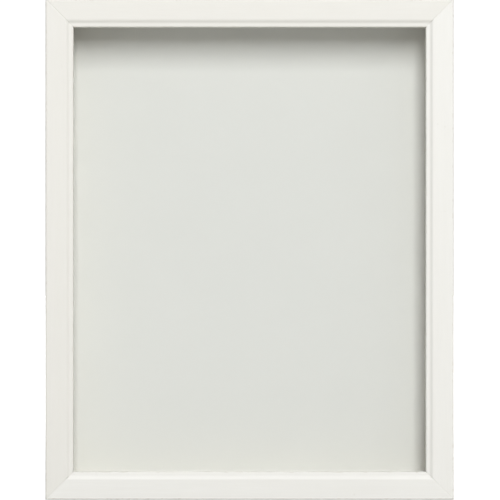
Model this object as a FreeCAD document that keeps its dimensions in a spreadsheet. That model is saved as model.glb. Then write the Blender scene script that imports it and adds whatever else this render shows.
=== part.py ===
import FreeCAD, Part
import math
import os

import Sketcher

# A back-loading display box frame, upright in portrait. Millimetres. The origin is the middle of
# the bottom edge's lower face, +Z is up, +X runs along the width and the glazed front faces -Y.

DRIVING = [
    ("outer_width", 225.6, "frame, edge to edge"),
    ("outer_height", 276.5, "frame, edge to edge"),
    ("frame_depth", 37.5, "front face to back face of the moulding"),
    ("rail_width", 15.5, "moulding, outer edge to sight edge"),
    ("back_wall", 10.3, "moulding beside the rebate"),
    ("flat_width", 11.1, "flat front face of the moulding"),
    ("step_run", 2.6, "soft step inside the flat, across"),
    ("step_drop", 0.75, "soft step inside the flat, backwards"),
    ("lip_back", 5.8, "front face to the lip's back face"),
    ("outer_round", 0.9, "outer front arris"),
    ("sight_round", 0.7, "sight edge arris"),
    ("pane_width", 203.2, "glass, card and board"),
    ("pane_height", 254.0, "glass, card and board"),
    ("glass_thick", 2.0, "clear pane"),
    ("glass_seam", 0.25, "ground edge of the pane"),
    ("spacer_depth", 22.0, "pane to card"),
    ("spacer_thick", 3.0, "spacer strip"),
    ("spacer_gap", 0.3, "spacer to rebate wall"),
    ("card_thick", 1.4, "backing card"),
    ("board_thick", 3.0, "back board"),
    ("board_edge", 0.4, "broken edge of the back board"),
    ("kerf_gap", 0.1, "slack each side of a tab in its kerf"),
    ("tab_thick", 0.5, "tab steel"),
    ("tab_width", 7.0, "tab leaf"),
    ("tab_reach", 11.5, "tab beyond the rebate wall"),
    ("tab_anchor", 8.0, "tab inside the rail"),
    ("tab_neck", 4.6, "tab between its barbs and the leaf"),
    ("nail_thick", 0.5, "V-nail steel"),
    ("nail_arm", 4.6, "V-nail arm"),
    ("nail_deep", 8.0, "V-nail driven depth"),
    ("nail_inset", 6.9, "outer edge to the V-nail's outer faces"),
    ("hanger_inset", 5.5, "outer edge to the hanger's middle"),
    ("hanger_drop", 69.0, "top edge to the ring's pivot"),
    ("strap_thick", 0.9, "hanger strap steel"),
    ("strap_width", 7.4, "hanger strap"),
    ("strap_length", 25.0, "pivot to the strap's lower end"),
    ("knuckle_width", 5.0, "rolled knuckle"),
    ("shoulder_drop", 5.0, "pivot to where the strap reaches its full width"),
    ("knuckle_bore", 1.1, "rolled knuckle, inner radius"),
    ("screw_drop", 16.5, "pivot to screw"),
    ("screw_hole", 1.9, "strap hole, radius"),
    ("pilot_hole", 1.2, "pilot hole in the rail, radius"),
    ("pilot_depth", 13.0, "pilot hole in the rail"),
    ("wire_radius", 1.0, "D-ring wire"),
    ("ring_half", 4.2, "D-ring wire centre to its middle line"),
    ("ring_corner", 1.5, "D-ring corner"),
    ("ring_leg", 3.2, "D-ring straight leg"),
    ("head_radius", 3.2, "screw head"),
    ("head_height", 2.1, "screw head"),
    ("head_rim", 0.84, "straight side of the screw head"),
    ("head_curve", 1.76, "screw head's round shoulder"),
    ("head_flat", 1.98, "screw head's flat top, radius"),
    ("thread_radius", 1.6, "screw thread crest"),
    ("core_radius", 1.15, "screw core"),
    ("thread_pitch", 1.3, "screw thread"),
    ("thread_flank", 0.52, "thread crest to its root, along the screw"),
    ("first_thread", 1.5, "underside of the head to the first crest"),
    ("point_radius", 0.92, "screw's blunt point"),
    ("screw_length", 12.0, "screw under its head"),
    ("recess_width", 0.9, "screw's cross recess, slot"),
    ("recess_span", 3.4, "screw's cross recess, end to end"),
    ("recess_depth", 1.2, "screw's cross recess"),
    ("bumper_radius", 4.4, "wall bumper"),
    ("bumper_top", 3.4, "wall bumper's flat top, radius"),
    ("bumper_height", 3.0, "wall bumper"),
    ("bumper_side", 0.9, "straight side of the wall bumper"),
    ("bumper_rise", 16.0, "bottom edge to the bumper's middle"),
]
THREADS = 7
CURL = 70  # degrees past level, where the hanger's knuckle ends
SIDE_TABS = {"low": 0.2, "mid": 0.5, "high": 0.8}
END_TABS = {"left": -0.27, "right": 0.27}

# Lengths that the driving dimensions give, as formulas.
FRONT = "(-dims.frame_depth / 2)"
BACK = "(dims.frame_depth / 2)"
MIDDLE = "(dims.outer_height / 2)"
GLASS_FRONT = f"({FRONT} + dims.lip_back)"
SPACER_FRONT = f"({GLASS_FRONT} + dims.glass_thick)"
CARD_FRONT = f"({SPACER_FRONT} + dims.spacer_depth)"
BOARD_FRONT = f"({CARD_FRONT} + dims.card_thick)"
BOARD_BACK = f"({BOARD_FRONT} + dims.board_thick)"
TAB_FRONT = f"({BOARD_BACK} + 2 * dims.kerf_gap)"
OPENING_HALF = "(dims.outer_width / 2 - dims.back_wall)"
OPENING_TALL = "(dims.outer_height - 2 * dims.back_wall)"

Z_AXIS = FreeCAD.Vector(0, 0, 1)
Y_AXIS = FreeCAD.Vector(0, 1, 0)
X_AXIS = FreeCAD.Vector(1, 0, 0)

doc = FreeCAD.newDocument("display_box_frame")
sheet = doc.addObject("Spreadsheet::Sheet", "dims")


def fill_sheet():
    """Writes each driving dimension on its own row: what it is, its value, its alias."""
    for row, (alias, value, words) in enumerate(DRIVING, start=1):
        sheet.set(f"A{row}", words)
        sheet.set(f"B{row}", str(value))
        sheet.setAlias(f"B{row}", alias)
    doc.recompute()


def size(formula):
    """What a formula over the sheet comes to, as a plain number."""
    return float(sheet.evalExpression(formula))


def place(thing, across="0", back="0", up="0", axis=Z_AXIS, turn=0):
    """Turns an object about an axis through the origin, then moves it by three formulas."""
    thing.Placement = FreeCAD.Placement(FreeCAD.Vector(), FreeCAD.Rotation(axis, turn))
    for letter, formula in zip("xyz", (across, back, up)):
        thing.setExpression(f"Placement.Base.{letter}", formula)
    return thing


def new_body(label):
    """An empty body for one piece."""
    return doc.addObject("PartDesign::Body", label)


def new_sketch(body, role, name):
    """An empty sketch on one of the body's own origin planes."""
    sketch = body.newObject("Sketcher::SketchObject", f"{body.Name}_{name}")
    plane = next(item for item in body.Origin.OriginFeatures if item.Role == role)
    sketch.AttachmentSupport = [(plane, "")]
    sketch.MapMode = "FlatFace"
    return sketch


def arc_between(start, end, turn, radius):
    """The short arc of a given radius that leaves start and turns 'left' or 'right' to end."""
    half = (end - start) * 0.5
    rise = math.sqrt(max(radius**2 - half.Length**2, 0))
    side = FreeCAD.Vector(-half.y, half.x, 0).normalize() * rise
    centre = start + half + (side if turn == "left" else -side)
    first, last = (start, end) if turn == "left" else (end, start)
    angles = [math.atan2(point.y - centre.y, point.x - centre.x) for point in (first, last)]
    return Part.ArcOfCircle(Part.Circle(centre, Z_AXIS, radius), *angles)


def outline(sketch, corners):
    """Draws a closed outline whose every corner is held by two formulas, across and up.

    A corner with two more items starts an arc to the next corner: which way it turns, and the
    formula of its radius.
    """
    points = [FreeCAD.Vector(size(corner[0]), size(corner[1]), 0) for corner in corners]
    following = points[1:] + points[:1]
    first = sketch.GeometryCount
    ends = []
    for corner, start, end in zip(corners, points, following):
        if len(corner) == 2:
            sketch.addGeometry(Part.LineSegment(start, end))
            ends.append((1, 2))
        else:
            sketch.addGeometry(arc_between(start, end, corner[2], size(corner[3])))
            ends.append((1, 2) if corner[2] == "left" else (2, 1))
    for index, corner in enumerate(corners):
        edge, after = first + index, (index + 1) % len(corners)
        join = Sketcher.Constraint("Coincident", edge, ends[index][1], first + after, ends[after][0])
        sketch.addConstraint(join)
        for kind, formula in zip(("DistanceX", "DistanceY"), corner):
            hold = Sketcher.Constraint(kind, -1, 1, edge, ends[index][0], size(formula))
            sketch.setExpression(f"Constraints[{sketch.addConstraint(hold)}]", formula)
        if len(corner) > 2:
            bend = Sketcher.Constraint("Radius", edge, size(corner[3]))
            sketch.setExpression(f"Constraints[{sketch.addConstraint(bend)}]", corner[3])


def rectangle(sketch, width, height):
    """A rectangle about the sketch's origin."""
    right, top = f"{width} / 2", f"{height} / 2"
    left, bottom = f"-{width} / 2", f"-{height} / 2"
    outline(sketch, [(left, bottom), (right, bottom), (right, top), (left, top)])


def circle(sketch, radius, across="0", up="0"):
    """A circle of one radius formula, its middle held by two more."""
    middle = FreeCAD.Vector(size(across), size(up), 0)
    index = sketch.addGeometry(Part.Circle(middle, Z_AXIS, size(radius)))
    for kind, formula in (("DistanceX", across), ("DistanceY", up)):
        hold = Sketcher.Constraint(kind, -1, 1, index, 3, size(formula))
        sketch.setExpression(f"Constraints[{sketch.addConstraint(hold)}]", formula)
    bend = sketch.addConstraint(Sketcher.Constraint("Radius", index, size(radius)))
    sketch.setExpression(f"Constraints[{bend}]", radius)


def pad(body, sketch, length, side="Symmetric", backwards=False):
    """Pads a sketch, both ways unless told otherwise."""
    feature = body.newObject("PartDesign::Pad", f"{sketch.Name}_pad")
    feature.Profile = sketch
    feature.SideType = side
    feature.Reversed = backwards
    feature.setExpression("Length", length)
    return feature


def pocket(body, sketch, depth, side="Symmetric", backwards=False, taper=0):
    """Cuts a sketch away to a depth, and makes sure that something was cut."""
    doc.recompute()
    before = body.Shape.Volume
    feature = body.newObject("PartDesign::Pocket", f"{sketch.Name}_pocket")
    feature.Profile = sketch
    feature.SideType = side
    feature.Reversed = backwards
    feature.TaperAngle = taper
    feature.setExpression("Length", depth)
    doc.recompute()
    if not body.Shape.Volume < before:
        raise RuntimeError(f"{feature.Name} cuts nothing")
    return feature


def revolve(body, sketch):
    """Turns a sketch all the way round its own upright axis."""
    feature = body.newObject("PartDesign::Revolution", f"{sketch.Name}_turned")
    feature.Profile = sketch
    feature.ReferenceAxis = (sketch, ["V_Axis"])
    feature.Angle = 360
    return feature


def chamfer(body, base, amount, wanted):
    """Breaks those edges of a feature for which wanted(edge) is true."""
    doc.recompute()
    edges = [f"Edge{n}" for n, edge in enumerate(base.Shape.Edges, start=1) if wanted(edge)]
    feature = body.newObject("PartDesign::Chamfer", f"{base.Name}_broken")
    feature.Base = (base, edges)
    feature.setExpression("Size", amount)
    return feature


def rail_body(name, length):
    """One moulding rail along X: its section swept along the rail, its ends mitred.

    Its outer face lies on z = 0 and its sight edge points up, to be turned into place. From its
    outer face the front runs flat, drops in a soft step of two equal arcs, the first round and
    the second hollow, and ends in a ledge at the sight edge.
    """
    body = new_body(f"{name}_blank")
    section = new_sketch(body, "YZ_Plane", "section")
    ledge = f"({FRONT} + dims.step_drop)"
    bend = "(dims.step_run^2 + dims.step_drop^2) / (4 * dims.step_drop)"
    outline(
        section,
        [
            (f"{FRONT} + dims.outer_round", "0"),
            (BACK, "0"),
            (BACK, "dims.back_wall"),
            (GLASS_FRONT, "dims.back_wall"),
            (GLASS_FRONT, "dims.rail_width"),
            (f"{ledge} + dims.sight_round", "dims.rail_width", "left", "dims.sight_round"),
            (ledge, "dims.rail_width - dims.sight_round"),
            (ledge, "dims.flat_width + dims.step_run", "right", bend),
            (f"{FRONT} + dims.step_drop / 2", "dims.flat_width + dims.step_run / 2", "left", bend),
            (FRONT, "dims.flat_width"),
            (FRONT, "dims.outer_round", "left", "dims.outer_round"),
        ],
    )
    pad(body, section, length)
    mitre = new_sketch(body, "XZ_Plane", "mitre")
    for sign in ("-", ""):
        corners = [
            (f"{sign}{length} / 2", "0"),
            (f"{sign}({length} / 2 - dims.rail_width)", "dims.rail_width"),
            (f"{sign}{length} / 2", "dims.rail_width"),
        ]
        outline(mitre, corners)
    pocket(body, mitre, "2 * dims.frame_depth")
    return body


def v_nail_bodies():
    """The lower left V-nail, its arms along both rails, and its three mirror images."""
    body = new_body("v_nail")
    shape = new_sketch(body, "XZ_Plane", "vee")
    thick, arm = "dims.nail_thick", "dims.nail_arm"
    outline(
        shape,
        [
            ("0", "0"),
            (f"-{arm}", "0"),
            (f"-{arm}", f"-{thick}"),
            (f"-{thick}", f"-{thick}"),
            (f"-{thick}", f"-{arm}"),
            ("0", f"-{arm}"),
        ],
    )
    pad(body, shape, "dims.nail_deep", side="One side")
    place(body, "dims.nail_inset - dims.outer_width / 2", BACK, "dims.nail_inset")
    doc.recompute()
    right = mirror(body, "v_nail_right", X_AXIS)
    tops = [mirror(item, f"{item.Name}_top", Z_AXIS, MIDDLE) for item in (body, right)]
    return [body, right, *tops]


def mirror(thing, name, normal, up="0"):
    """A mirror image across the plane with this normal, at a height."""
    image = doc.addObject("Part::Mirroring", name)
    image.Source = thing
    image.Normal = normal
    image.setExpression("Base.z", up)
    return image


def group(label, members):
    """Several like solids under one label."""
    compound = doc.addObject("Part::Compound", label)
    compound.Links = members
    return compound


def cut(label, base, tools):
    """What is left of a solid once the tools are taken out."""
    result = doc.addObject("Part::Cut", label)
    result.Base = base
    result.Tool = tools[0] if len(tools) == 1 else group(f"{label}_tools", tools)
    return result


def plate(label, width, height, thick, front, across="0", up=MIDDLE):
    """A flat upright plate or strip whose front face is at a depth."""
    body = new_body(label)
    face = new_sketch(body, "XZ_Plane", "face")
    rectangle(face, width, height)
    pad(body, face, thick, side="One side", backwards=True)
    place(body, across, front, up)
    return body


def broken_plate(label, width, height, thick, front, amount):
    """A plate with all its sharp edges broken."""
    body = plate(label, width, height, thick, front)
    chamfer(body, body.Tip, amount, lambda edge: True)
    return body


def make_spacers():
    """Four strips round the cavity: the side ones full height, the others between them."""
    tall = f"({OPENING_TALL} - 2 * dims.spacer_gap)"
    wide = f"(2 * {OPENING_HALF} - 2 * dims.spacer_thick - 4 * dims.spacer_gap)"
    side = f"({OPENING_HALF} - dims.spacer_gap - dims.spacer_thick / 2)"
    rise = f"({OPENING_TALL} / 2 - dims.spacer_gap - dims.spacer_thick / 2)"
    strip = ("dims.spacer_depth", SPACER_FRONT)
    return [
        plate("spacer_left", "dims.spacer_thick", tall, *strip, across=f"-{side}"),
        plate("spacer_right", "dims.spacer_thick", tall, *strip, across=side),
        plate("spacer_bottom", wide, "dims.spacer_thick", *strip, up=f"{MIDDLE} - {rise}"),
        plate("spacer_top", wide, "dims.spacer_thick", *strip, up=f"{MIDDLE} + {rise}"),
    ]


def make_tab(label, across, up, turn):
    """A bendable tab: a barbed anchor to the left of the rebate wall, a round leaf to the right."""
    body = new_body(label)
    leaf = new_sketch(body, "XZ_Plane", "leaf")
    half, neck = "dims.tab_width / 2", "dims.tab_neck / 2"
    barb, anchor = "dims.tab_anchor / 2", "dims.tab_anchor"
    outline(
        leaf,
        [
            ("0", f"-({half})"),
            (f"dims.tab_reach - {half}", f"-({half})", "left", half),
            ("dims.tab_reach", "0", "left", half),
            (f"dims.tab_reach - {half}", half),
            ("0", half),
            (f"-{barb}", neck),
            (f"-{barb}", half),
            (f"-{anchor}", "dims.tab_thick"),
            (f"-{anchor}", "-dims.tab_thick"),
            (f"-{barb}", f"-({half})"),
            (f"-{barb}", f"-({neck})"),
        ],
    )
    pad(body, leaf, "dims.tab_thick", side="One side", backwards=True)
    place(body, across, TAB_FRONT, up, Y_AXIS, turn)
    return body


def kerf(name, across, up, turn):
    """The saw kerf that a tab's anchor sits in, cut in from the rebate wall.

    The box's own corner is moved by its length and half its height, both turned with it.
    """
    deep = "(dims.tab_anchor + 2 * dims.kerf_gap)"
    tall = "(dims.tab_width + 2 * dims.kerf_gap)"
    slot = doc.addObject("Part::Box", name)
    slot.setExpression("Length", deep)
    slot.setExpression("Height", tall)
    slot.setExpression("Width", "dims.tab_thick + 2 * dims.kerf_gap")
    turned = FreeCAD.Rotation(Y_AXIS, turn)
    along, upright = (turned.multVec(axis) for axis in (X_AXIS, Z_AXIS))
    sideways = f"(({round(along.x)}) * {deep} + ({round(upright.x)}) * {tall} / 2)"
    upwards = f"(({round(along.z)}) * {deep} + ({round(upright.z)}) * {tall} / 2)"
    moved = (f"{across} - {sideways}", f"{TAB_FRONT} - dims.kerf_gap", f"{up} - {upwards}")
    return place(slot, *moved, Y_AXIS, turn)


def tab_places():
    """Each tab's name, the rail that holds it, where it crosses the rebate wall, and its turn."""
    places = []
    for side, sign, turn in (("left", "-", 0), ("right", "", 180)):
        for level, share in SIDE_TABS.items():
            up = f"dims.outer_height * {share}"
            places.append((f"tab_{side}_{level}", side, f"{sign}{OPENING_HALF}", up, turn))
    for end, up, turn in (
        ("top", "dims.outer_height - dims.back_wall", 90),
        ("bottom", "dims.back_wall", -90),
    ):
        for side, share in END_TABS.items():
            across = f"dims.outer_width * {share}"
            places.append((f"tab_{end}_{side}", end, across, up, turn))
    return places


def make_screw(label, across, up):
    """A pan-head wood screw: ringed thread and head turned in one, with a cross recess.

    The cross is one arm's outline, turned a quarter three times.
    """
    body = new_body(label)
    half = new_sketch(body, "XZ_Plane", "half")
    ridges = []
    for ridge in range(THREADS):
        crest = f"-dims.first_thread - dims.thread_pitch * {ridge}"
        ridges.append(("dims.core_radius", f"{crest} + dims.thread_flank"))
        ridges.append(("dims.thread_radius", crest))
        ridges.append(("dims.core_radius", f"{crest} - dims.thread_flank"))
    outline(
        half,
        [
            ("0", "-dims.screw_length"),
            ("dims.point_radius", "-dims.screw_length + dims.thread_radius"),
            *reversed(ridges),
            ("dims.thread_radius", "0"),
            ("dims.head_radius", "0"),
            ("dims.head_radius", "dims.head_rim", "left", "dims.head_curve"),
            ("dims.head_flat", "dims.head_height"),
            ("0", "dims.head_height"),
        ],
    )
    revolve(body, half)
    recess = new_sketch(body, "XY_Plane", "recess")
    recess.setExpression("AttachmentOffset.Base.z", "dims.head_height")
    wide, long = "dims.recess_width / 2", "dims.recess_span / 2"
    cross = []
    arm = [(wide, wide), (wide, long), (f"-({wide})", long)]
    for _ in range(4):
        cross += arm
        arm = [(f"-({rise})", run) for run, rise in arm]
    outline(recess, cross)
    pocket(body, recess, "dims.recess_depth", side="One side")
    return place(body, across, f"{BACK} + dims.strap_thick", up, X_AXIS, -90)


def make_strap(label, across, up):
    """A hanger strap: flat steel with a rounded foot, its head rolled into a knuckle."""
    body = new_body(label)
    edge = new_sketch(body, "YZ_Plane", "edge")
    thick, bore = "dims.strap_thick", "dims.knuckle_bore"
    rolled = f"({thick} + {bore})"
    mouth = math.cos(math.radians(CURL)), math.sin(math.radians(CURL))
    outline(
        edge,
        [
            ("0", "0"),
            ("0", "-dims.strap_length"),
            (thick, "-dims.strap_length"),
            (thick, "0", "right", bore),
            (rolled, bore, "right", bore),
            (f"{rolled} + {bore}", "0", "right", bore),
            (f"{rolled} - {bore} * {mouth[0]}", f"-{bore} * {mouth[1]}"),
            (f"{rolled} - {rolled} * {mouth[0]}", f"-{rolled} * {mouth[1]}", "left", rolled),
            (f"{rolled} + {rolled}", "0", "left", rolled),
            (rolled, rolled, "left", rolled),
        ],
    )
    pad(body, edge, "dims.strap_width")
    hole = new_sketch(body, "XZ_Plane", "hole")
    circle(hole, "dims.screw_hole", up="-dims.screw_drop")
    pocket(body, hole, "4 * dims.strap_thick")
    half, waist = "dims.strap_width / 2", "dims.knuckle_width / 2"
    shoulder = "dims.shoulder_drop"
    trim = new_sketch(body, "XZ_Plane", "trim")
    for sign, turn in (("-", "left"), ("", "right")):
        foot = [
            (f"{sign}{half}", f"-dims.strap_length + {half}", turn, half),
            ("0", "-dims.strap_length"),
            (f"{sign}{half}", "-dims.strap_length"),
        ]
        side = [
            (f"{sign}{half}", f"-{shoulder}"),
            (f"{sign}{waist}", f"{half} - {waist} - {shoulder}"),
            (f"{sign}{waist}", rolled),
            (f"{sign}{half}", rolled),
        ]
        outline(trim, foot)
        outline(trim, side)
    pocket(body, trim, f"4 * {rolled}")
    return place(body, across, BACK, up)


def make_ring(label, across, up):
    """A D-ring hanging from its straight bar: two round corners, two legs and a half-round bow."""
    body = new_body(label)
    path = new_sketch(body, "XZ_Plane", "path")
    half, corner = "dims.ring_half", "dims.ring_corner"
    leg = f"({corner} + dims.ring_leg)"
    outline(
        path,
        [
            ("0", "0"),
            (f"{half} - {corner}", "0", "right", corner),
            (half, f"-{corner}"),
            (half, f"-{leg}", "right", half),
            ("0", f"-({leg} + {half})", "right", half),
            (f"-{half}", f"-{leg}"),
            (f"-{half}", f"-{corner}", "right", corner),
            (f"-({half} - {corner})", "0"),
        ],
    )
    wire = new_sketch(body, "YZ_Plane", "wire")
    circle(wire, "dims.wire_radius")
    doc.recompute()
    bent = body.newObject("PartDesign::AdditivePipe", f"{label}_bent")
    bent.Profile = wire
    bent.Spine = (path, [])
    return place(body, across, f"{BACK} + dims.strap_thick + dims.knuckle_bore", up)


def make_bumper(label, across):
    """A round rubber bumper with sloping sides and a flat top."""
    body = new_body(label)
    half = new_sketch(body, "XZ_Plane", "half")
    outline(
        half,
        [
            ("0", "0"),
            ("dims.bumper_radius", "0"),
            ("dims.bumper_radius", "dims.bumper_side"),
            ("dims.bumper_top", "dims.bumper_height"),
            ("0", "dims.bumper_height"),
        ],
    )
    revolve(body, half)
    return place(body, across, BACK, "dims.bumper_rise", X_AXIS, -90)


def make_hanger(side, sign):
    """The strap, ring and screw at one side, and the pilot hole that takes the screw."""
    across = f"{sign}(dims.outer_width / 2 - dims.hanger_inset)"
    pivot = "dims.outer_height - dims.hanger_drop"
    screw_up = f"{pivot} - dims.screw_drop"
    pieces = [
        make_strap(f"hanger_strap_{side}", across, pivot),
        make_ring(f"hanger_ring_{side}", across, pivot),
        make_screw(f"hanger_screw_{side}", across, screw_up),
    ]
    pilot = doc.addObject("Part::Cylinder", f"pilot_{side}")
    pilot.setExpression("Radius", "dims.pilot_hole")
    pilot.setExpression("Height", "dims.pilot_depth")
    place(pilot, across, BACK, screw_up, X_AXIS, 90)
    return pieces, pilot


def make_rails(nails, pockets):
    """The four rails, cut for their nails, kerfs and pilot holes."""
    half_width = "dims.outer_width / 2"
    seats = {
        "bottom": ("dims.outer_width", "0", "0", 0),
        "top": ("dims.outer_width", "0", "dims.outer_height", 180),
        "left": ("dims.outer_height", f"-{half_width}", MIDDLE, 90),
        "right": ("dims.outer_height", half_width, MIDDLE, -90),
    }
    rails = []
    for side, (length, across, up, turn) in seats.items():
        blank = place(rail_body(side, length), across, "0", up, Y_AXIS, turn)
        rails.append(cut(f"rail_{side}", blank, [nails, *pockets[side]]))
    return rails


def make_parts():
    """Every piece of the frame, in the order in which it would be put together."""
    nails = group("corner_v_nails", v_nail_bodies())
    pockets = {side: [] for side in ("top", "bottom", "left", "right")}
    tabs = []
    for name, rail, across, up, turn in tab_places():
        tabs.append(make_tab(name, across, up, turn))
        pockets[rail].append(kerf(f"kerf_{name}", across, up, turn))
    hangers = []
    for side, sign in (("left", "-"), ("right", "")):
        pieces, pilot = make_hanger(side, sign)
        hangers += pieces
        pockets[side].append(pilot)
    pane = ("dims.pane_width", "dims.pane_height")
    glass = broken_plate("glass_pane", *pane, "dims.glass_thick", GLASS_FRONT, "dims.glass_seam")
    card = plate("backing_card", *pane, "dims.card_thick", CARD_FRONT)
    board = broken_plate("back_board", *pane, "dims.board_thick", BOARD_FRONT, "dims.board_edge")
    bumper_across = "(dims.outer_width / 2 - dims.back_wall / 2)"
    bumpers = [
        make_bumper("wall_bumper_left", f"-{bumper_across}"),
        make_bumper("wall_bumper_right", bumper_across),
    ]
    rails = make_rails(nails, pockets)
    return [*rails, nails, glass, *make_spacers(), card, board, *tabs, *hangers, *bumpers]


def check(parts):
    """Stops unless every object was worked out and every piece is a sound solid."""
    for thing in doc.Objects:
        if {"Invalid", "Error"} & set(thing.State):
            raise RuntimeError(f"{thing.Name} failed: {thing.State}")
    for piece in parts:
        if piece.Shape.isNull() or not piece.Shape.isValid() or not piece.Shape.Solids:
            raise RuntimeError(f"{piece.Label} is not a sound solid")


def main():
    """Builds the frame and writes each piece to a file named after it."""
    fill_sheet()
    parts = make_parts()
    doc.recompute()
    check(parts)
    os.makedirs("parts", exist_ok=True)
    for piece in parts:
        piece.Shape.exportStep(f"parts/{piece.Label}.step")


main()
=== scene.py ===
"""A white display box frame: mitred moulding, pane, lined cavity, card, back board and fittings.

The frame stands upright in portrait, its glazed front towards -Y, in metres.
"""

import math

import bmesh
import bpy
import numpy as np
from bpy.props import FloatProperty, FloatVectorProperty, PointerProperty
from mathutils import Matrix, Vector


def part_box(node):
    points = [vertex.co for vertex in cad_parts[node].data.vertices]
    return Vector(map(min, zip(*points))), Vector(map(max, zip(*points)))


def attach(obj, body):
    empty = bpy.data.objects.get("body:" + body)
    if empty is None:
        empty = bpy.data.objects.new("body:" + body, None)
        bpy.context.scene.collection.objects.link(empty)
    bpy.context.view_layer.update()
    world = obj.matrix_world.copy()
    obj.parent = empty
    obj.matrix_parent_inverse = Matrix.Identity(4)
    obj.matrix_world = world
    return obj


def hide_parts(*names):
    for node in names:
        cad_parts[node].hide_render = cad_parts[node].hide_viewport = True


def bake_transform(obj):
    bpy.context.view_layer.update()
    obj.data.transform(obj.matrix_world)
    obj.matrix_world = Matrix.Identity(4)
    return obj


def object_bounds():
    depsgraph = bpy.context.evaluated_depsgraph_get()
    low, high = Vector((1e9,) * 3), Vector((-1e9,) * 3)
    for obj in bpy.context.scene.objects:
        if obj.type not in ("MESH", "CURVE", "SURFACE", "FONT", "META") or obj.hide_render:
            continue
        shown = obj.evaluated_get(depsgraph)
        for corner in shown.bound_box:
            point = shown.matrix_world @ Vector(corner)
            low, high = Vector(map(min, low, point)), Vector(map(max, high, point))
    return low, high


bl_info = {
    "name": "Display Box Frame",
    "version": (1, 0, 0),
    "blender": (4, 5, 0),
    "location": "3D View > Sidebar > Box Frame",
    "description": "Builds a white display box frame with its glazing, lining, back and fittings",
    "category": "Add Mesh",
}

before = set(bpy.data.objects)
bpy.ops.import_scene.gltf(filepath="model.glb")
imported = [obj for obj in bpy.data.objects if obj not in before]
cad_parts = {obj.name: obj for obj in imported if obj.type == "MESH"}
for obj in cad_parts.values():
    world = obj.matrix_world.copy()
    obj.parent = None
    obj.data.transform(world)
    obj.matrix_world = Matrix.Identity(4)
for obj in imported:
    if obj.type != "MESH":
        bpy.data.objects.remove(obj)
CAD_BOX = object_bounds()
MM = 0.001
WHITE = (1, 1, 1, 1)
SIDES = ("top", "bottom", "left", "right")
ENDS = ("left", "right")


# ---------------------------------------------------------------- sizes and colours


def length(name, default, description):
    """A length in metres, whose default is given in millimetres."""
    return FloatProperty(
        name=name, description=description, default=default * MM, min=0, unit="LENGTH", precision=5
    )


def colour(name, default, description):
    """A colour without alpha."""
    return FloatVectorProperty(
        name=name, description=description, default=default, size=3, min=0, max=1, subtype="COLOR"
    )


def share(name, default, description):
    """A plain share or strength."""
    return FloatProperty(name=name, description=description, default=default, min=0)


def angle(name, default, description):
    """An angle whose default is given in degrees."""
    return FloatProperty(
        name=name, description=description, default=math.radians(default), subtype="ANGLE"
    )


class MouldingSizes(bpy.types.PropertyGroup):
    """The moulding's section, measured in from its outer edge and back from its front."""

    back_wall: length("Back Wall", 10.3, "Moulding beside the rebate")
    flat_width: length("Flat Width", 11.1, "Flat front face")
    step_run: length("Step Run", 2.6, "Soft step inside the flat, across")
    step_drop: length("Step Drop", 0.75, "Soft step inside the flat, backwards")
    lip_back: length("Lip Back", 5.8, "Front face to the back of the lip that holds the pane")
    outer_round: length("Outer Round", 0.9, "Radius of the outer front arris")
    sight_round: length("Sight Round", 0.7, "Radius of the sight edge")
    soft_edge: length("Soft Edge", 0.3, "Paint-softened arrises of the lip and of the back")
    joint_groove: length("Joint Groove", 0.1, "Depth of the fine line where two mitres meet")


class FittingSizes(bpy.types.PropertyGroup):
    """Sizes of the hardware at the back."""

    tab_reach: length("Tab Reach", 11.5, "Tab beyond the rebate wall")
    tab_anchor: length("Tab Anchor", 8.0, "Tab inside the rail")
    tab_neck: length("Tab Neck", 4.6, "Width of the tab between its barbs and the leaf")
    tab_bend: length("Tab Bend", 1.9, "Stretch of the leaf that curls when the tab is bent")
    nail_arm: length("Nail Arm", 4.6, "V-nail, from its bend to an end")
    nail_thick: length("Nail Thickness", 0.5, "V-nail steel")
    nail_proud: length("Nail Proud", 0.06, "How far a V-nail stands out of the wood")
    strap_thick: length("Strap Thickness", 0.9, "Hanger strap steel")
    knuckle_bore: length("Knuckle Bore", 1.1, "Inner radius of the rolled knuckle")
    knuckle_width: length("Knuckle Width", 5.0, "Rolled knuckle, end to end")
    shoulder_drop: length("Shoulder Drop", 5.0, "Pivot to where the strap reaches full width")
    wire_radius: length("Wire Radius", 1.0, "D-ring wire")
    ring_corner: length("Ring Corner", 1.5, "Centre radius of the D-ring's corners")
    head_height: length("Head Height", 2.1, "Screw head")
    thread_core: length("Thread Core", 1.15, "Radius of the screw's core")
    thread_crest: length("Thread Crest", 1.6, "Radius of the screw's thread")
    thread_pitch: length("Thread Pitch", 1.3, "Screw thread, crest to crest")
    bumper_top: length("Bumper Top", 3.4, "Radius of the bumper's flat top")


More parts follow.
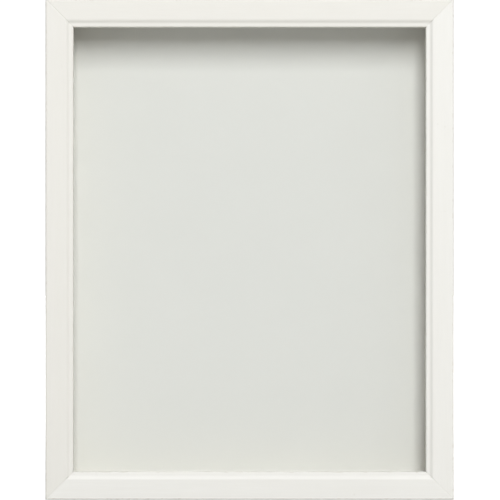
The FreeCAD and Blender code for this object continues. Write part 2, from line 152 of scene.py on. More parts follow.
class Finishes(bpy.types.PropertyGroup):
    """Colours of every surface."""

    paint: colour("Paint", (0.875, 0.868, 0.83), "Off-white satin paint")
    # Also the colour that whole rails are darkened towards as painted shade.
    worn_and_shaded_paint: colour("Worn Paint", (0.70, 0.67, 0.60), "Paint rubbed thin over its primer")
    wood_pale: colour("Pale Wood", (0.68, 0.49, 0.30), "Bare timber, early wood")
    wood_dark: colour("Dark Wood", (0.38, 0.23, 0.125), "Bare timber, late wood")
    wood_pore: colour("Wood Pores", (0.17, 0.10, 0.055), "Open pores of the bare timber")
    glass: colour("Glass", (0.965, 0.985, 0.97), "Float glass, seen straight through")
    glass_lit: colour("Lit Glass", (0.96, 0.97, 0.965), "What the glass lets through of the light")
    liner: colour("Liner", (0.62, 0.59, 0.51), "Cream-painted spacer strips")
    liner_fleck: colour("Liner Fleck", (0.50, 0.465, 0.38), "Thin places in the strips' paint")
    card: colour("Card", (0.875, 0.85, 0.832), "Backing card")
    card_fleck: colour("Card Fleck", (0.66, 0.68, 0.62), "Dark fibres in the card")
    board: colour("Board", (0.42, 0.275, 0.165), "Pressed fibre board")
    board_fleck: colour("Board Fleck", (0.17, 0.095, 0.05), "Dark fibres in the board")
    zinc: colour("Zinc", (0.66, 0.66, 0.65), "Galvanised tab steel")
    zinc_dull: colour("Dull Zinc", (0.42, 0.42, 0.42), "Rubbed and scratched tab steel")
    nickel: colour("Nickel", (0.72, 0.70, 0.66), "Bright plated hanger steel")
    strap_dull: colour("Dull Strap", (0.50, 0.47, 0.42), "Rubbed plating of the straps")
    ring_dull: colour("Dull Ring", (0.48, 0.46, 0.42), "Rubbed plating of the rings")
    screw: colour("Screw", (0.63, 0.63, 0.64), "Zinc-plated screws")
    screw_dull: colour("Dull Screw", (0.40, 0.39, 0.36), "Rubbed plating of the screws")
    nail: colour("Nail", (0.36, 0.36, 0.37), "Cold-rolled nail steel")
    nail_rust: colour("Nail Rust", (0.20, 0.17, 0.14), "Browned nail steel")
    rubber: colour("Rubber", (0.045, 0.045, 0.048), "Soft dark rubber")
    bloom: colour("Bloom", (0.30, 0.29, 0.27), "Grey bloom on the rubber")
    dust: colour("Dust", (0.45, 0.44, 0.41), "Dust on the rubber")


class StageSettings(bpy.types.PropertyGroup):
    """Floor, light and camera."""

    floor: colour("Floor", (0.86, 0.86, 0.85), "Pale floor")
    floor_patch: colour("Floor Patches", (0.78, 0.78, 0.77), "Darker patches of the floor")
    floor_lent: colour("Floor Lent", (0.5, 0.5, 0.49), "Floor as it throws light on the frame")
    glow_near: share("Near Glow", 0.55, "What the floor adds to its look beside the frame")
    glow_far: share("Far Glow", 0.95, "What the floor adds to its look far away")
    floor_radius: length("Floor Radius", 9000, "How far the floor reaches")
    key_azimuth: angle("Key Azimuth", 4.4, "Key light, to the right of straight ahead")
    key_height: angle("Key Height", 25, "Key light above the middle of the frame")
    key_distance: length("Key Distance", 8000, "Key light to the middle of the frame")
    key_width: length("Key Width", 2250, "Level side of the key light")
    key_tall: length("Key Tall", 4290, "Upright side of the key light")
    key_power: FloatProperty(
        name="Key Power", description="Key light", default=505, min=0, unit="POWER"
    )
    sky_left: share("Sky Left", 0.0, "Soft light from the left, before the frame")
    sky_right: share("Sky Right", 0.37, "Soft light from the right, before the frame")
    sky_behind: share("Sky Behind", 1.3, "Soft light from behind the frame")
    sky_mirrored: share("Sky Mirrored", 0.22, "What the floor gives in reflections")
    backdrop: share("Backdrop", 1.1, "Brightness behind the frame")
    camera_distance: length("Camera Distance", 2000, "Camera to the frame's front face")
    view_height: length("View Height", 276.05, "What the picture takes in at the front face")
    camera_shift: length("Camera Shift", 0.22, "Camera to the right of the frame's middle")
    camera_drop: length("Camera Drop", 0.3, "Camera below the frame's middle")


# ---------------------------------------------------------------- surfaces


class Shell:
    """Gathers grids and flat caps of points and makes one closed mesh of them."""

    def __init__(self):
        """Starts with no points and no faces."""
        self.points = []
        self.faces = []
        self.coords = []
        # The tone field carries painted shade: how far a whole rail is darkened.
        self.fields = {"edge": [], "bare": [], "tone": []}
        self.total = 0

    def grid(self, points, uv=None, wrap=(False, False), **fields):
        """Adds a grid of points, each quad joining row and column neighbours, and returns its ids.

        A wrapped direction joins its last line to its first, and its uv has one line more.
        """
        rows, columns = points.shape[:2]
        ids = self.total + np.arange(rows * columns).reshape(rows, columns)
        row = np.arange(rows - (not wrap[0]))[:, None]
        column = np.arange(columns - (not wrap[1]))[None, :]
        steps = ((0, 0), (0, 1), (1, 1), (1, 0))
        quads = [ids[(row + i) % rows, (column + j) % columns] for i, j in steps]
        self.faces += np.stack(quads, -1).reshape(-1, 4).tolist()
        if uv is None:
            uv = np.zeros((rows + wrap[0], columns + wrap[1], 2))
        corners = [uv[row + i, column + j] for i, j in steps]
        self.coords.append(np.stack(corners, -2).reshape(-1, 2))
        self.points.append(points.reshape(-1, 3))
        for name, values in self.fields.items():
            values.append(np.broadcast_to(fields.get(name, 0.0), (rows, columns)).ravel())
        self.total += rows * columns
        return ids

    def cap(self, ids):
        """Closes a line of points with one flat face."""
        self.faces.append(ids.tolist())
        self.coords.append(np.zeros((len(ids), 2)))

    def tube(self, points, uv, **fields):
        """Adds a grid that is closed round each row, with its first and last rows capped."""
        ids = self.grid(points, uv=uv, wrap=(False, True), **fields)
        self.cap(ids[0])
        self.cap(ids[-1])

    def make(self, name, material, body, nodes):
        """Makes the mesh, faces outwards, and hands it to its body in place of its CAD nodes."""
        mesh = bpy.data.meshes.new(name)
        mesh.from_pydata(np.concatenate(self.points).tolist(), [], self.faces)
        layer = mesh.uv_layers.new(name="along")
        layer.data.foreach_set("uv", np.concatenate(self.coords).astype(np.float32).ravel())
        for label, values in self.fields.items():
            attribute = mesh.attributes.new(label, "FLOAT", "POINT")
            attribute.data.foreach_set("value", np.concatenate(values).astype(np.float32))
        close(mesh)
        mesh.polygons.foreach_set("use_smooth", np.ones(len(mesh.polygons), bool))
        mesh.set_sharp_from_angle(angle=math.radians(38))
        mesh.materials.append(material)
        thing = bpy.data.objects.new(name, mesh)
        bpy.context.scene.collection.objects.link(thing)
        if body:
            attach(thing, body)
        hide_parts(*nodes)
        return thing


def close(mesh):
    """Welds points that lie on each other, drops what collapses, and turns all faces outwards."""
    bm = bmesh.new()
    bm.from_mesh(mesh)
    bmesh.ops.remove_doubles(bm, verts=bm.verts, dist=1e-6)
    bmesh.ops.dissolve_degenerate(bm, edges=bm.edges, dist=1e-7)
    bmesh.ops.recalc_face_normals(bm, faces=bm.faces)
    bm.to_mesh(mesh)
    bm.free()


def together(*values):
    """Arrays spread over one shared grid and stacked as its last direction."""
    return np.stack(np.broadcast_arrays(*values), -1)


def ring_of(count):
    """Angles evenly spaced round a full turn."""
    return np.arange(count) * 2 * math.pi / count


def arc(centre, radius, start, end, count):
    """Points on a circle about a centre, from a start to an end angle in degrees."""
    turn = np.radians(np.linspace(start, end, count))
    return np.array(centre) + radius * together(np.cos(turn), np.sin(turn))


def spread(start, end, margin=0.6 * MM, count=5):
    """Points along a straight run between two corners, the outer ones a margin in from them."""
    start, end = np.array(start), np.array(end)
    gap = min(margin / np.linalg.norm(end - start), 0.3)
    return start + (end - start) * np.linspace(gap, 1 - gap, count)[:, None]


def travel(points):
    """Distance walked round a closed outline, back to its first point."""
    steps = np.linalg.norm(np.roll(points, -1, axis=0) - points, axis=1)
    return np.concatenate([[0], np.cumsum(steps)])


def outward(points):
    """Unit normals of a closed outline drawn anticlockwise: its direction turned to the right."""
    ahead = np.roll(points, -1, axis=0) - np.roll(points, 1, axis=0)
    normals = together(ahead[:, 1], -ahead[:, 0])
    return normals / np.linalg.norm(normals, axis=1, keepdims=True)


def rounded(corners, radius, count=5):
    """An anticlockwise outline with round corners, and its outward normals.

    At each corner the normal turns from one side's to the next's, and the point is the arc's
    centre plus the radius along it, or minus it where the corner is hollow.
    """
    corners = np.array(corners, float)
    before = corners - np.roll(corners, 1, axis=0)
    before /= np.linalg.norm(before, axis=1, keepdims=True)
    after = np.roll(before, -1, axis=0)
    turns = np.arctan2(
        before[:, 0] * after[:, 1] - before[:, 1] * after[:, 0], np.sum(before * after, axis=1)
    )
    side = np.sign(turns)[:, None]
    left = together(-before[:, 1], before[:, 0])
    centre = corners - before * radius * np.tan(np.abs(turns) / 2)[:, None] + side * radius * left
    swing = turns[:, None] * np.linspace(0, 1, count)
    cos, sin = np.cos(swing), np.sin(swing)
    x, y = -left[:, :1], -left[:, 1:]
    normals = together(x * cos - y * sin, x * sin + y * cos)
    points = centre[:, None] + side[:, None] * radius * normals
    return points.reshape(-1, 2), normals.reshape(-1, 2)


def slab(shell, corners, front, back, seam, corner_radius):
    """A plate of any outline in X and Z, from a front to a back depth, its long edges rounded.

    Each ring is the outline drawn in along its normals; the edge rings follow a quarter circle.
    """
    outline, normals = rounded(corners, max(corner_radius, 1.05 * seam))
    turn = np.radians(np.linspace(0, 90, 4))
    inner = min(2.2 * seam, 0.9 * corner_radius + seam)
    inwards, half = seam * (1 - np.sin(turn)), seam * (1 - np.cos(turn))
    inset = np.concatenate([[inner], inwards, inwards[::-1], [inner]])
    depth = np.concatenate([[front], front + half, back - half[::-1], [back]])[:, None]
    flat = outline - inset[:, None, None] * normals
    rings = together(flat[..., 0], depth, flat[..., 1])
    edge = np.ones(depth.shape)
    edge[[0, -1]] = 0
    shell.tube(rings, together(travel(outline), depth), edge=edge)


def plate(name, node, material, body, seam, corner):
    """Makes a flat piece from its node's box, its long edges and its corners rounded, in mm."""
    low, high = extent(node)
    corners = [(low[0], low[2]), (high[0], low[2]), (high[0], high[2]), (low[0], high[2])]
    shell = Shell()
    slab(shell, corners, low[1], high[1], seam * MM, corner * MM)
    shell.make(name, material, body, [node])


def strip(shell, path, normals, half_widths, half_thick, across):
    """A flat strip bent along a path, its corners rounded.

    Each station's section is a rectangle, wide along one fixed direction and thick along the
    path's normal, with a quarter circle at each corner.
    """
    quarter = np.radians((np.arange(4)[:, None] * 90 + np.linspace(0, 90, 4)).ravel())
    corner = np.minimum(0.4 * half_thick, 0.9 * half_widths)[:, None]
    side = np.repeat([1, -1, -1, 1], 4)
    face = np.repeat([1, 1, -1, -1], 4)
    wide = side * (half_widths[:, None] - corner) + corner * np.cos(quarter)
    thick = face * (half_thick - corner) + corner * np.sin(quarter)
    sideways = wide[..., None] * np.array(across)
    points = path[:, None] + sideways + thick[..., None] * normals[:, None]
    steps = np.linalg.norm(np.diff(path, axis=0), axis=1)
    walked = np.concatenate([[0], np.cumsum(steps)])
    round_way = np.linspace(0, 2 * half_widths.max() + 4 * half_thick, len(quarter) + 1)
    rim = 0.4 * MM
    edge = np.clip((np.abs(wide) - half_widths[:, None] + rim) / rim, 0, 1)
    shell.tube(points, together(walked[:, None], round_way), edge=edge)


def lathe(shell, centre, radii, heights, count=64):
    """A profile turned about the +Y axis through a centre: radius and height at each station."""
    theta, rows = ring_of(count), len(heights)
    radii = np.broadcast_to(np.reshape(radii, (rows, -1)), (rows, count))
    heights = np.reshape(heights, (rows, -1))
    x, z = centre[0] + radii * np.cos(theta), centre[2] + radii * np.sin(theta)
    points = together(x, centre[1] + heights, z)
    steps = np.hypot(np.diff(radii[:, 0]), np.diff(heights[:, 0]))
    walked = np.concatenate([[0], np.cumsum(steps)])
    round_way = np.linspace(0, radii.max() * 2 * math.pi, count + 1)
    return shell.grid(points, uv=together(walked[:, None], round_way), wrap=(False, True))


def extent(node):
    """A node's lowest and highest corners."""
    low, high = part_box(node)
    return np.array(low), np.array(high)


def middle(low, high):
    """The middle of a box."""
    return (np.array(low) + np.array(high)) / 2


# ---------------------------------------------------------------- shader nodes


def add(tree, kind, inputs=None, **settings):
    """Adds a shader node; each input takes a value or a link from a socket."""
    node = tree.nodes.new("ShaderNode" + kind)
    for name, value in settings.items():
        setattr(node, name, value)
    for name, value in (inputs or {}).items():
        if isinstance(value, bpy.types.NodeSocket):
            tree.links.new(value, node.inputs[name])
        else:
            node.inputs[name].default_value = value
    return node


def calc(tree, operation, first, second=0.0, third=0.0):
    """A Math node's result."""
    return add(tree, "Math", {0: first, 1: second, 2: third}, operation=operation).outputs[0]


def times(tree, first, second):
    """Two values multiplied."""
    return calc(tree, "MULTIPLY", first, second)


def times_plus(tree, value, factor, more):
    """A value multiplied by a factor, with more added."""
    return calc(tree, "MULTIPLY_ADD", value, factor, more)


def stretch(tree, vector, scale):
    """A vector multiplied along each axis."""
    return add(tree, "VectorMath", {0: vector, 1: scale}, operation="MULTIPLY").outputs[0]


def ramp(tree, value, low, high, out_low=0.0, out_high=1.0):
    """A smooth step from one value at low to another at high."""
    inputs = {"Value": value, 1: low, 2: high, 3: out_low, 4: out_high}
    return add(tree, "MapRange", inputs, interpolation_type="SMOOTHSTEP").outputs[0]


def noise(tree, vector, scale, detail=2.0, roughness=0.5, distortion=0.0):
    """A noise value about 0.5."""
    inputs = {"Vector": vector, "Scale": scale, "Detail": detail, "Roughness": roughness}
    return add(tree, "TexNoise", {**inputs, "Distortion": distortion}).outputs[0]


def mix(tree, factor, first, second):
    """Two colours mixed by a factor."""
    node = tree.nodes.new("ShaderNodeMix")
    node.data_type = "RGBA"
    for index, value in ((0, factor), (6, first), (7, second)):
        if isinstance(value, bpy.types.NodeSocket):
            tree.links.new(value, node.inputs[index])
        elif index:
            node.inputs[index].default_value = (*value, 1)
        else:
            node.inputs[index].default_value = value
    return node.outputs[2]


def new_group(name, inputs, outputs):
    """An empty node group with named sockets, and its input and output nodes."""
    tree = bpy.data.node_groups.new(name, "ShaderNodeTree")
    for socket, kind, value in inputs:
        made = tree.interface.new_socket(socket, in_out="INPUT", socket_type="NodeSocket" + kind)
        if value is not None:
            made.default_value = value
    for socket in outputs:
        tree.interface.new_socket(socket, in_out="OUTPUT", socket_type="NodeSocketFloat")
    return tree, tree.nodes.new("NodeGroupInput").outputs, tree.nodes.new("NodeGroupOutput").inputs


def grain_group():
    """Lengthwise grain: slow bands, fine lines and short pores, drawn out along the first axis."""
    tree, given, out = new_group(
        "Lengthwise Grain",
        [("Vector", "Vector", None), ("Coarse", "Float", 260.0), ("Fine", "Float", 1500.0)],
        ["Bands", "Lines", "Pores"],
    )
    looks = (
        ("Bands", 0.035, "Coarse", (3.0, 0.55, 0.6), (0.32, 0.68)),
        ("Lines", 0.02, "Fine", (2.0, 0.6), (0.3, 0.7)),
        ("Pores", 0.11, "Fine", (1.0, 0.5), (0.60, 0.72)),
    )
    for name, along_grain, scale, character, limits in looks:
        drawn = stretch(tree, given["Vector"], (along_grain, 1.0, 1.0))
        value = noise(tree, drawn, given[scale], *character)
        tree.links.new(ramp(tree, value, *limits), out[name])
    return tree


def speck_group():
    """Specks: the middles of a few random cells, all others left out."""
    tree, given, out = new_group(
        "Specks",
        [("Vector", "Vector", None), ("Scale", "Float", 300.0), ("Share", "Float", 0.1)],
        ["Mask"],
    )
    cells = add(tree, "TexVoronoi", {"Vector": given["Vector"], "Scale": given["Scale"]})
    chosen = add(tree, "SeparateColor", {0: cells.outputs["Color"]}).outputs[0]
    keep = calc(tree, "LESS_THAN", chosen, given["Share"])
    dot = ramp(tree, cells.outputs["Distance"], 0.05, 0.22, 1.0, 0.0)
    tree.links.new(times(tree, keep, dot), out["Mask"])
    return tree


def wear_group():
    """Edge wear: the piece's edge field, broken up by noise."""
    tree, given, out = new_group(
        "Edge Wear",
        [("Vector", "Vector", None), ("Scale", "Float", 400.0), ("Amount", "Float", 0.5)],
        ["Mask"],
    )
    edge = field(tree, "edge")
    broken = noise(tree, given["Vector"], given["Scale"], 4.0, 0.65)
    limit = times(tree, times_plus(tree, given["Amount"], -0.5, 0.85), 0.75)
    worn = calc(tree, "SUBTRACT", times(tree, edge, broken), limit)
    tree.links.new(ramp(tree, worn, 0.0, 0.14), out["Mask"])
    return tree


def fibre_group():
    """Paper and board fibre: fine tooth, soft clouds and thin curled hairs."""
    tree, given, out = new_group(
        "Fibre",
        [("Vector", "Vector", None), ("Scale", "Float", 1000.0)],
        ["Tooth", "Clouds", "Hairs"],
    )
    tooth = noise(tree, given["Vector"], given["Scale"], 4.0, 0.7)
    clouds = noise(tree, given["Vector"], times(tree, given["Scale"], 0.04), 3.0, 0.6)
    warped = stretch(tree, given["Vector"], (0.4, 1.0, 1.6))
    hairs = noise(tree, warped, times(tree, given["Scale"], 0.5), 2.0, 0.5, 2.5)
    thin = calc(tree, "ABSOLUTE", calc(tree, "SUBTRACT", hairs, 0.5))
    tree.links.new(tooth, out["Tooth"])
    tree.links.new(clouds, out["Clouds"])
    tree.links.new(ramp(tree, thin, 0.0, 0.02, 1.0, 0.0), out["Hairs"])
    return tree


def scratch_group():
    """Fine scratches: thin level lines of noise drawn out in two slanting directions."""
    tree, given, out = new_group(
        "Fine Scratches",
        [("Vector", "Vector", None), ("Scale", "Float", 900.0), ("Width", "Float", 0.012)],
        ["Mask", "Smudge"],
    )
    masks = []
    for turn, drawn_out in ((0.5, 0.06), (-0.9, 0.09)):
        turned = add(tree, "VectorRotate", {"Vector": given["Vector"], "Angle": turn}).outputs[0]
        drawn = stretch(tree, turned, (drawn_out, 1.0, 1.0))
        value = noise(tree, drawn, given["Scale"], 1.0, 0.5)
        line = calc(tree, "ABSOLUTE", calc(tree, "SUBTRACT", value, 0.5))
        masks.append(calc(tree, "LESS_THAN", line, given["Width"]))
    patches = noise(tree, given["Vector"], times(tree, given["Scale"], 0.25), 3.0, 0.6)
    both = calc(tree, "MAXIMUM", masks[0], masks[1])
    tree.links.new(times(tree, both, ramp(tree, patches, 0.45, 0.65)), out["Mask"])
    tree.links.new(patches, out["Smudge"])
    return tree


GROUPS = {
    "grain": grain_group,
    "specks": speck_group,
    "wear": wear_group,
    "fibre": fibre_group,
    "scratches": scratch_group,
}
made_groups = {}


def effect(tree, name, vector, **values):
    """Places a shared effect in a material and returns its outputs."""
    if name not in made_groups:
        made_groups[name] = GROUPS[name]()
    node = tree.nodes.new("ShaderNodeGroup")
    node.node_tree = made_groups[name]
    tree.links.new(vector, node.inputs["Vector"])
    for socket, value in values.items():
        node.inputs[socket.title()].default_value = value
    return node.outputs


def new_material(name):
    """An empty material and its node tree."""
    material = bpy.data.materials.new(name)
    material.use_nodes = True
    material.node_tree.nodes.clear()
    return material, material.node_tree


def finish_material(tree, base, roughness, height, distance, **plain):
    """The surface shader, with colour, roughness and bump height from sockets."""
    bump = add(tree, "Bump", {"Height": height, "Distance": distance, "Strength": 1.0})
    shader = add(tree, "BsdfPrincipled", {"Base Color": base, "Roughness": roughness, **plain})
    tree.links.new(bump.outputs[0], shader.inputs["Normal"])
    add(tree, "OutputMaterial", {"Surface": shader.outputs[0]})


def along(tree):
    """The piece's own coordinates: along it and round it, in metres."""
    return add(tree, "UVMap", uv_map="along").outputs[0]


def field(tree, name):
    """One of the values that a shell's points carry."""
    return add(tree, "Attribute", attribute_name=name).outputs["Fac"]


def in_place(tree):
    """Coordinates of the object's own space, in metres."""
    return add(tree, "TexCoord").outputs["Object"]


def either(tree, factor, usual, other):
    """One shader where the factor is 0, and the other where it is 1."""
    return add(tree, "MixShader", {0: factor, 1: usual, 2: other}).outputs[0]


def looked_at(tree):
    """1 for a ray that comes straight from the picture, also through the pane, and else 0."""
    path = add(tree, "LightPath").outputs
    bounced = calc(tree, "ADD", path["Glossy Depth"], path["Diffuse Depth"])
    straight = calc(tree, "LESS_THAN", bounced, 0.5)
    through = times(tree, path["Is Transmission Ray"], straight)
    return calc(tree, "MAXIMUM", path["Is Camera Ray"], through)


# ---------------------------------------------------------------- finishes


def painted_wood(colours):
    """Satin off-white paint over close-grained wood, with painted shade darkening whole rails, and
    a ragged edge where the wood is bare.
    """
    material, tree = new_material("satin_paint")
    place = in_place(tree)
    grain = effect(tree, "grain", along(tree), coarse=330.0, fine=2600.0)
    specks = effect(tree, "specks", place, scale=260.0, share=0.035)["Mask"]
    worn = effect(tree, "wear", place, scale=520.0, amount=0.34)["Mask"]
    clouds = noise(tree, place, 22.0, 3.0, 0.55)
    peel = noise(tree, place, 1500.0, 2.0, 0.5)
    edge_noise = noise(tree, place, 330.0, 4.0, 0.6)
    # The tone field is painted shade: whole rails darkened towards the worn paint's colour to stand
    # for how the light falls on each.
    tone, bare = (field(tree, name) for name in ("tone", "bare"))
    ragged = times_plus(tree, edge_noise, 2.6 * MM, -1.9 * MM)
    naked = ramp(tree, calc(tree, "ADD", bare, ragged), 0.0, 0.35 * MM)
    layers = (
        times_plus(tree, clouds, 0.05, tone),
        times_plus(tree, grain["Bands"], 0.05, times(tree, grain["Lines"], 0.08)),
        times(tree, specks, 0.25),
        times(tree, worn, 0.5),
    )
    base = colours.paint
    for share_worn in layers:
        base = mix(tree, share_worn, base, colours.worn_and_shaded_paint)
    base = mix(tree, naked, base, bare_wood_colour(tree, grain, colours))
    satin = times_plus(tree, clouds, 0.12, 0.34)
    painted_rough = times_plus(tree, grain["Lines"], 0.07, satin)
    roughness = calc(tree, "ADD", painted_rough, ramp(tree, naked, 0.0, 1.0, 0.0, 0.3))
    telegraphed = times_plus(tree, grain["Lines"], 0.30, times(tree, peel, 0.22))
    coated = times_plus(tree, specks, 0.5, telegraphed)
    sawn = times_plus(tree, grain["Pores"], -1.2, times(tree, grain["Bands"], 0.6))
    height = times_plus(tree, naked, sawn, coated)
    finish_material(tree, base, roughness, height, 0.035 * MM)
    return material


def bare_wood_colour(tree, grain, colours):
    """Pale wood, its bands and lines darker and its pores darkest."""
    banded = mix(tree, times(tree, grain["Bands"], 0.7), colours.wood_pale, colours.wood_dark)
    lined = mix(tree, times(tree, grain["Lines"], 0.45), banded, colours.wood_dark)
    return mix(tree, times(tree, grain["Pores"], 0.75), lined, colours.wood_pore)


def clear_glass(colours):
    """Float glass that lets lamp light straight through, with a trace of handling haze."""
    material, tree = new_material("clear_pane")
    haze = noise(tree, in_place(tree), 30.0, 4.0, 0.6)
    look = {
        "Base Color": (*colours.glass, 1),
        "Roughness": ramp(tree, haze, 0.4, 0.8, 0.0, 0.02),
        "Transmission Weight": 1.0,
        "IOR": 1.5,
    }
    shader = add(tree, "BsdfPrincipled", look)
    clear = add(tree, "BsdfTransparent", {"Color": (*colours.glass_lit, 1)})
    path = add(tree, "LightPath").outputs
    straight = calc(tree, "MAXIMUM", path["Is Shadow Ray"], path["Is Diffuse Ray"])
    blend = either(tree, straight, shader.outputs[0], clear.outputs[0])
    add(tree, "OutputMaterial", {"Surface": blend})
    return material


def paper_like(name, tone, fleck, scale, rough, depth, amount):
    """Fibrous matt surface: tone clouded and flecked, with a fine tooth."""
    material, tree = new_material(name)
    place = in_place(tree)
    fibre = effect(tree, "fibre", place, scale=scale)
    worn = effect(tree, "wear", place, scale=600.0, amount=0.5)["Mask"]
    layers = ((fibre["Clouds"], amount), (fibre["Tooth"], amount), (fibre["Hairs"], 1.2 * amount))
    base = tone
    for mask, strength in (*layers, (worn, 0.35)):
        base = mix(tree, times(tree, mask, strength), base, fleck)
    roughness = times_plus(tree, fibre["Tooth"], 0.14, rough)
    height = times_plus(tree, fibre["Hairs"], 0.35, fibre["Tooth"])
    finish_material(tree, base, roughness, height, depth)
    return material


def metal(name, tone, dull, rough, scale, depth):
    """Plated or rolled steel: smudged, finely scratched, and dull along its edges."""
    material, tree = new_material(name)
    place = along(tree)
    marks = effect(tree, "scratches", place, scale=scale, width=0.02)
    worn = effect(tree, "wear", place, scale=700.0, amount=0.7)["Mask"]
    patchy = mix(tree, ramp(tree, marks["Smudge"], 0.35, 0.7, 0.0, 0.6), tone, dull)
    marked = mix(tree, times(tree, marks["Mask"], 0.35), patchy, dull)
    base = mix(tree, times(tree, worn, 0.6), marked, dull)
    hazy = times_plus(tree, marks["Smudge"], 0.24, rough)
    roughness = times_plus(tree, marks["Mask"], 0.2, hazy)
    fine = noise(tree, place, 2400.0, 3.0, 0.6)
    height = times_plus(tree, marks["Mask"], -0.6, fine)
    finish_material(tree, base, roughness, height, depth, Metallic=1.0)
    return material


def rubber(colours):
    """Soft dark rubber with a dusty bloom."""
    material, tree = new_material("bumper_rubber")
    place = in_place(tree)
    bloom = noise(tree, place, 260.0, 4.0, 0.6)
    dust = effect(tree, "specks", place, scale=1400.0, share=0.25)["Mask"]
    grey = mix(tree, ramp(tree, bloom, 0.4, 0.75, 0.0, 0.25), colours.rubber, colours.bloom)
    base = mix(tree, times(tree, dust, 0.4), grey, colours.dust)
    roughness = times_plus(tree, bloom, 0.2, 0.5)
    finish_material(tree, base, roughness, noise(tree, place, 3000.0, 3.0, 0.6), 0.02 * MM)
    return material


# ---------------------------------------------------------------- operators


class Maker(bpy.types.Operator):
    """What every piece's operator shares: it is undoable, and reads the scene's settings."""

    bl_options = {"REGISTER", "UNDO"}

    def execute(self, context):
        """Builds the pieces; a mistake raises an error and stops the script."""
        scene = context.scene
        self.build(scene.box_moulding, scene.box_fittings, scene.box_finishes)
        return {"FINISHED"}

    def pair(self, name, node, material, slot, fittings, body="frame"):
        """Builds the left and the right one of a fitting, each by the operator's own shape."""
        for side in ENDS:
            shell = Shell()
            self.shape(shell, *extent(f"{node}_{side}"), fittings)
            shell.make(f"{name}_{side}", material, body.format(side), [f"{node}_{side}"])


def moulding_section(sizes, width, depth):
    """The rail's closed section: in from its outer edge, back from its front, and its two fields.

    It runs along the front from the outer arris, down a round and a hollow arc to the ledge,
    round the sight edge, back under the lip, along the rebate wall and the back, and up the
    outer side. The two arcs are alike, level at their far ends, and meet half way down.
    The edge field is 1 on each arris. The bare field is the distance walked past the paint's end.
    """
    flat, run, drop = sizes.flat_width, sizes.step_run, sizes.step_drop
    outer, sight, soft = sizes.outer_round, sizes.sight_round, sizes.soft_edge
    wall, lip = sizes.back_wall, sizes.lip_back
    bend = (run**2 + drop**2) / (4 * drop)
    swing = math.degrees(math.asin(run / 2 / bend))
    ledge = (flat + run, drop)
    runs = [
        (arc((outer, outer), outer, 180, 270, 8), 1),
        (spread((outer, 0), (flat, 0), count=7), 0),
        (arc((flat, bend), bend, 270, 270 + swing, 10), 0),
        (arc((flat + run, drop - bend), bend, 90 + swing, 90, 10)[1:], 0),
        (spread(ledge, (width - sight, drop), 0.3 * MM, 3), 0),
        (arc((width - sight, drop + sight), sight, 270, 360, 7), 1),
        (spread((width, drop + sight), (width, lip - soft)), 0),
        (arc((width - soft, lip - soft), soft, 0, 90, 4), 1),
        (spread((width - soft, lip), (wall, lip), count=3), 0),
        (np.array([[wall, lip]]), 0),
        (spread((wall, lip), (wall, depth - soft)), 0),
        (arc((wall - soft, depth - soft), soft, 0, 90, 4), 1),
        (spread((wall - soft, depth), (soft, depth)), 0),
        (arc((soft, depth - soft), soft, 90, 180, 4), 1),
        (spread((0, depth - soft), (0, outer)), 0),
    ]
    points = np.concatenate([part for part, edge in runs])
    edge = np.concatenate([np.full(len(part), float(edge)) for part, edge in runs])
    walked = travel(points)[:-1]
    lip_start = walked[np.argmin(np.hypot(*(points - (width - soft, lip)).T))]
    back_end = walked[np.argmin(np.hypot(*(points - (soft, depth)).T))]
    bare = np.minimum(walked - lip_start, back_end - walked)
    return points, edge, bare


class BOX_OT_rails(Maker):
    """Build the four mitred moulding rails"""

    bl_idname = "box_frame.rails"
    bl_label = "Rails"
    # Painted shade: how far each rail's paint is darkened towards its primer's colour, the top and
    # left rails most, to stand for how the light falls on each.
    painted_shade_tones = {"top": 0.32, "bottom": 0.0, "left": 0.28, "right": 0.04}
    # X and Z of a point from how far it is along its rail and in from the rail's outer edge.
    places = {
        "bottom": lambda far, across, width, height: (far, across),
        "top": lambda far, across, width, height: (far, height - across),
        "left": lambda far, across, width, height: (across - width / 2, height / 2 + far),
        "right": lambda far, across, width, height: (width / 2 - across, height / 2 + far),
    }

    def build(self, moulding, fittings, finishes):
        """Builds each rail between its two mitres and gives it its paint."""
        low, high = extent("rail_left")
        depth, height = high[1] - low[1], high[2] - low[2]
        width = 2 * -low[0]
        section = moulding_section(moulding, high[0] - low[0], depth)
        paint = painted_wood(finishes)
        for number, side in enumerate(SIDES):
            span = width if side in ("top", "bottom") else height
            along_rail, across, back, groove = self.lines(section, span, moulding.joint_groove)
            x, z = self.places[side](along_rail, across, width, height)
            walked = travel(section[0])
            wrapped = np.concatenate([along_rail, along_rail[:, :1]], axis=1)
            shell = Shell()
            shell.tube(
                together(x, low[1] + back, z),
                together(wrapped + number, walked + 0.1 * number),
                edge=np.maximum(section[1], groove * 0.7),
                bare=section[2],
                tone=self.painted_shade_tones[side],
            )
            shell.make(f"moulding_{side}", paint, "frame", [f"rail_{side}"])

    def lines(self, section, span, groove_depth):
        """Carries the section along one rail, each of its lines ending on the mitre plane.

        Near the mitre the section is drawn in along its normals by a smooth step, which leaves
        a fine groove where two rails meet. Gives the places along, across and back, and how
        far into the groove each row lies.
        """
        points = section[0]
        groove_width, clear = 0.26 * MM, 4 * MM
        near = np.array([0, 0.08 * MM, 0.16 * MM, groove_width, 0.8 * MM])
        inner = np.linspace(-1, 1, 25)[1:-1]
        reach = span / 2 - points[:, 0]
        ends = reach[None] - near[:, None]
        along_rail = np.concatenate([-ends, inner[:, None] * (reach - clear), ends[::-1]])
        close_by = np.clip(1 - near / groove_width, 0, 1)
        drawn = close_by**2 * (3 - 2 * close_by) * groove_depth
        drawn = np.concatenate([drawn, np.zeros(len(inner)), drawn[::-1]])[:, None]
        moved = points - drawn[..., None] * outward(points)
        return along_rail, moved[..., 0], moved[..., 1], np.clip(drawn / groove_depth, 0, 1)


class BOX_OT_pane(Maker):
    """Build the clear pane with its ground edges"""

    bl_idname = "box_frame.pane"
    bl_label = "Pane"

    def build(self, moulding, fittings, finishes):
        """Builds the pane as a slab with seamed edges."""
        glass = clear_glass(finishes)
        plate("pane", "glass_pane", glass, "frame", seam=0.25, corner=0.6)


